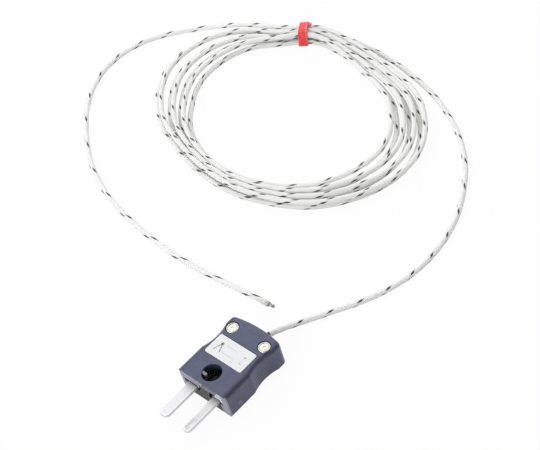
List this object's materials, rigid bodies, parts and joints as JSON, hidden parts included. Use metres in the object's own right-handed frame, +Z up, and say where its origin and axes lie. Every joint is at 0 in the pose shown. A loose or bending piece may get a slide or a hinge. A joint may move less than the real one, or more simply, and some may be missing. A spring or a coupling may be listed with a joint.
{
  "type": "thermocouple",
  "caption": "Fine-wire thermocouple: a flat polarised plug in grey plastic, a coiled white glass-braid lead held by a red band, and an exposed welded measuring tip.",
  "frame": {"origin": "under the middle of the plug and its pins, on the table", "axes": "+Z up off the table; -Y the way the pins point; +X to the side of the narrow positive pin"},
  "size_m": [0.137, 0.1305, 0.0074],
  "materials": {
    "plug_plastic": "moulded grey glass-filled plastic with a fine grain",
    "label": "white satin label with polarity signs and bare writing space",
    "pin_metal": "bright thermocouple alloy, lightly scuffed",
    "screw_metal": "nickel-plated, dull in the grooves",
    "glass_braid": "white glass-fibre braid with dark tracer threads",
    "wire_metal": "bare drawn wire",
    "tie_plastic": "soft glossy red band",
    "bead_metal": "welded, slightly oxidised"
  },
  "bodies": {
    "plug": {"plug_base": "plug_plastic", "negative_pin": "pin_metal", "positive_pin": "pin_metal", "negative_clamp_plate": "screw_metal", "positive_clamp_plate": "screw_metal", "negative_leg": "glass_braid", "positive_leg": "glass_braid", "negative_conductor": "wire_metal", "positive_conductor": "wire_metal", "cable_lead": "glass_braid", "cable_coil": "glass_braid", "cable_tail": "glass_braid", "coil_tie": "tie_plastic", "negative_tip_wire": "wire_metal", "positive_tip_wire": "wire_metal", "junction_bead": "bead_metal"},
    "cover": {"plug_cover": "plug_plastic", "label_plate": "label"},
    "left_cover_screw": {"cover_screw_left": "screw_metal"},
    "right_cover_screw": {"cover_screw_right": "screw_metal"},
    "negative_screw": {"negative_terminal_screw": "screw_metal"},
    "positive_screw": {"positive_terminal_screw": "screw_metal"}
  },
  "joints": [
    {"name": "cover_lift", "type": "slide", "parent": "plug", "child": "cover", "axis": [0, 0, 1], "range_m": [0, 0.012]},
    {"name": "cover_screw_left_turn", "type": "hinge", "parent": "cover", "child": "left_cover_screw", "pos_m": [-0.0054, 0.0116, 0.007], "axis": [0, 0, 1], "continuous": true},
    {"name": "cover_screw_right_turn", "type": "hinge", "parent": "cover", "child": "right_cover_screw", "pos_m": [0.0054, 0.0116, 0.007], "axis": [0, 0, 1], "continuous": true},
    {"name": "negative_terminal_turn", "type": "hinge", "parent": "plug", "child": "negative_screw", "pos_m": [-0.00395, 0.0049, 0.005], "axis": [0, 0, 1], "continuous": true},
    {"name": "positive_terminal_turn", "type": "hinge", "parent": "plug", "child": "positive_screw", "pos_m": [0.00395, 0.0049, 0.005], "axis": [0, 0, 1], "continuous": true}
  ]
}
